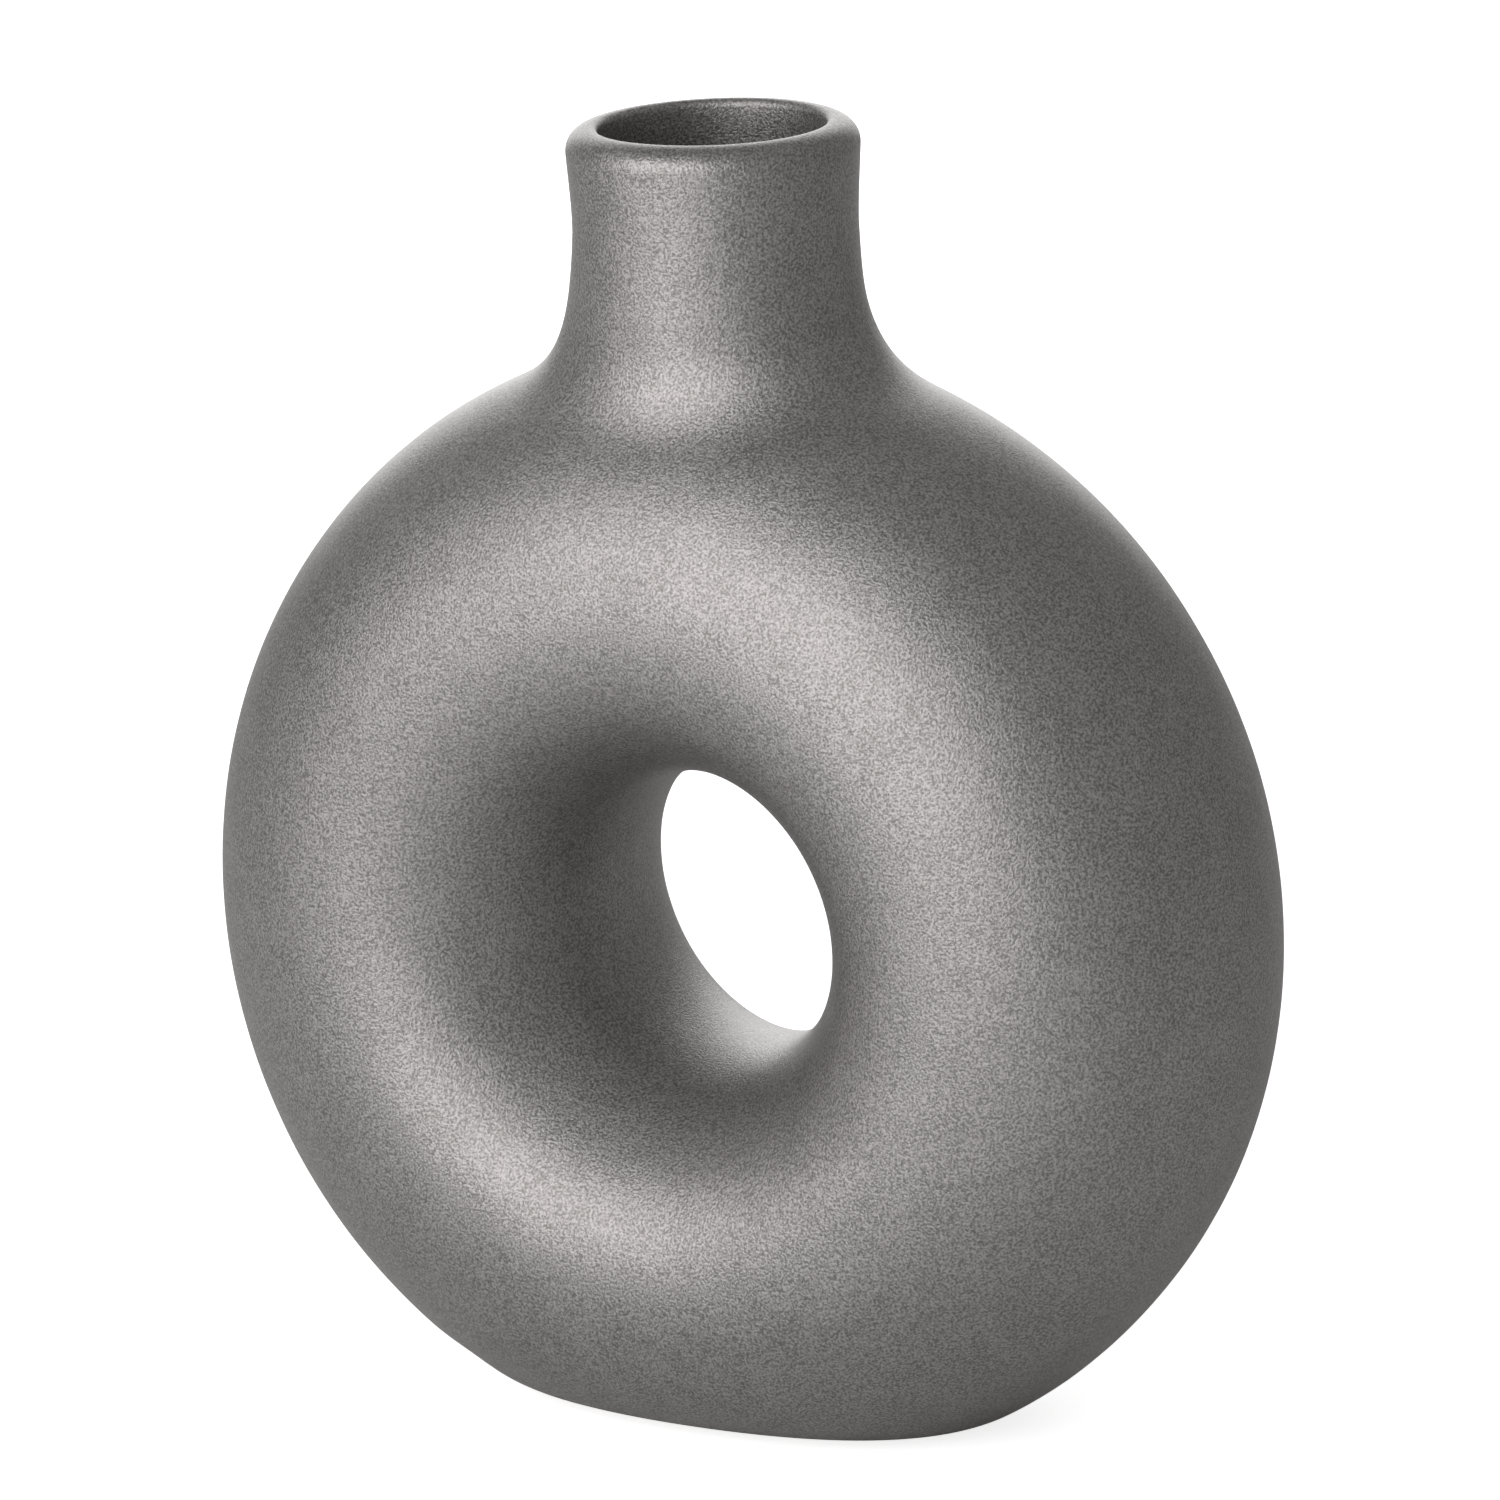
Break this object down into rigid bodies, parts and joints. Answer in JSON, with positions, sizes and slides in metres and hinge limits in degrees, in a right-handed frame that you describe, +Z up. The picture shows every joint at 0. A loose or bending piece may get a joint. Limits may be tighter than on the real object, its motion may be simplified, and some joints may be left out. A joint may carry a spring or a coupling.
{
  "type": "donut vase",
  "caption": "Ring-shaped stoneware vase that stands on its edge, with a hole right through the middle and a short round neck on top for stems and water.",
  "frame": {"origin": "on the table under the middle of the ring", "axes": "+Z up through the neck; the hole runs along Y and the front faces -Y; X runs across the ring"},
  "size_m": [0.2116, 0.0896, 0.24],
  "materials": {
    "matte_glaze": "matte, finely mottled dark warm grey glaze with a faint metallic sheen",
    "foot_glaze": "the same glaze on the side, wiped to bare grey clay underneath"
  },
  "bodies": {
    "root": {"ring_front_half": "matte_glaze", "ring_back_half": "matte_glaze", "neck_collar": "matte_glaze", "base_slab": "foot_glaze"}
  },
  "joints": []
}
